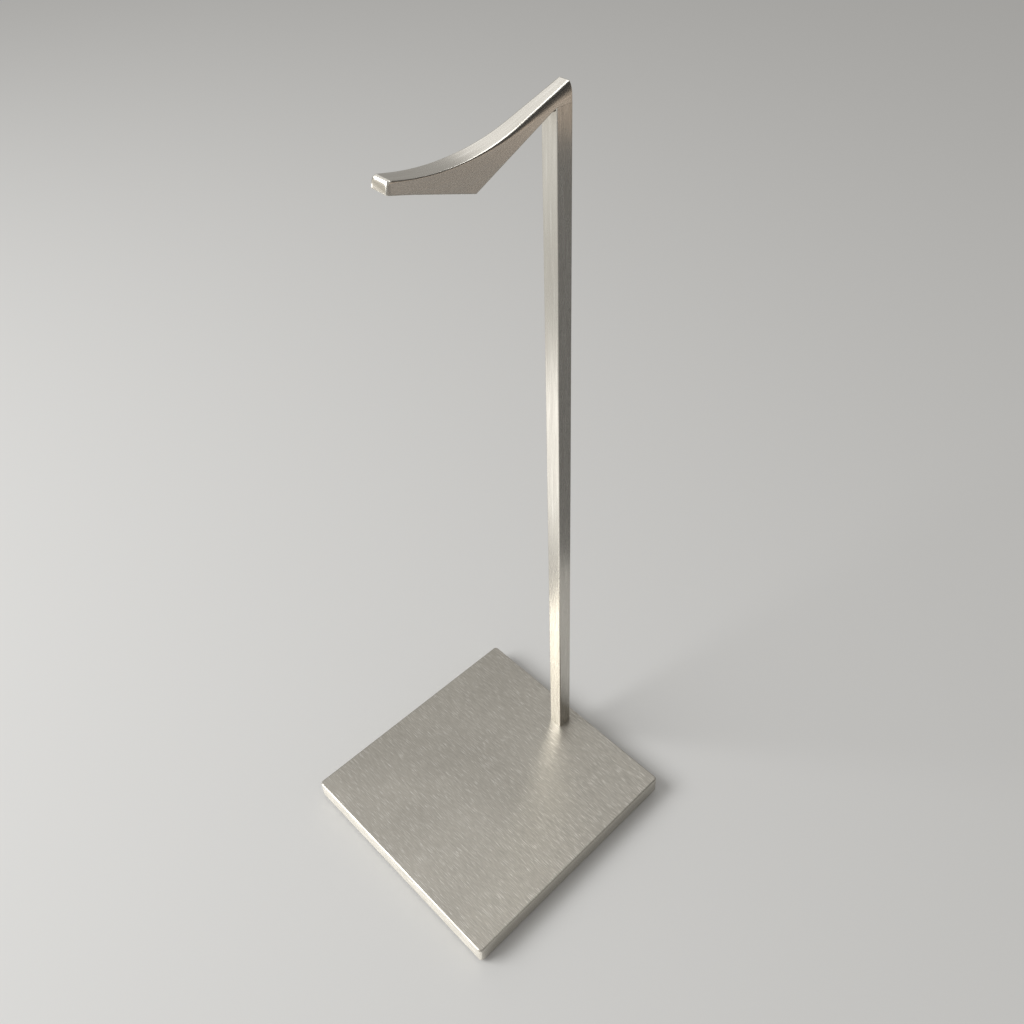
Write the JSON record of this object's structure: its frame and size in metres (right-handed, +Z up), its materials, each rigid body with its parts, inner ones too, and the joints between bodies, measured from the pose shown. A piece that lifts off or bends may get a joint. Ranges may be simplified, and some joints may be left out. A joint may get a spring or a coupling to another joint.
{
  "type": "eyeglasses display stand",
  "caption": "Square steel base plate with a slender square post and a curved saddle arm that holds glasses on display.",
  "frame": {"origin": "under the middle of the base plate, on the surface that the feet stand on", "axes": "+Z up along the post; -Y the way the arm points, which is the front; +X to the right seen from the front"},
  "size_m": [0.1, 0.1, 0.2911],
  "materials": {
    "brushed_plate": "short straight brushing across the arm's direction, satin, eased edges",
    "brushed_bar": "fine lengthwise brushing, satin",
    "weld": "ground weld, slightly heat-darkened",
    "screw": "plain machined",
    "rubber_foot": "matt moulded rubber"
  },
  "bodies": {
    "root": {"base_plate": "brushed_plate", "post": "brushed_bar", "saddle_arm": "brushed_bar", "corner_weld": "weld", "base_screw": "screw", "foot_front_left": "rubber_foot", "foot_front_right": "rubber_foot", "foot_rear_left": "rubber_foot", "foot_rear_right": "rubber_foot"}
  },
  "joints": []
}
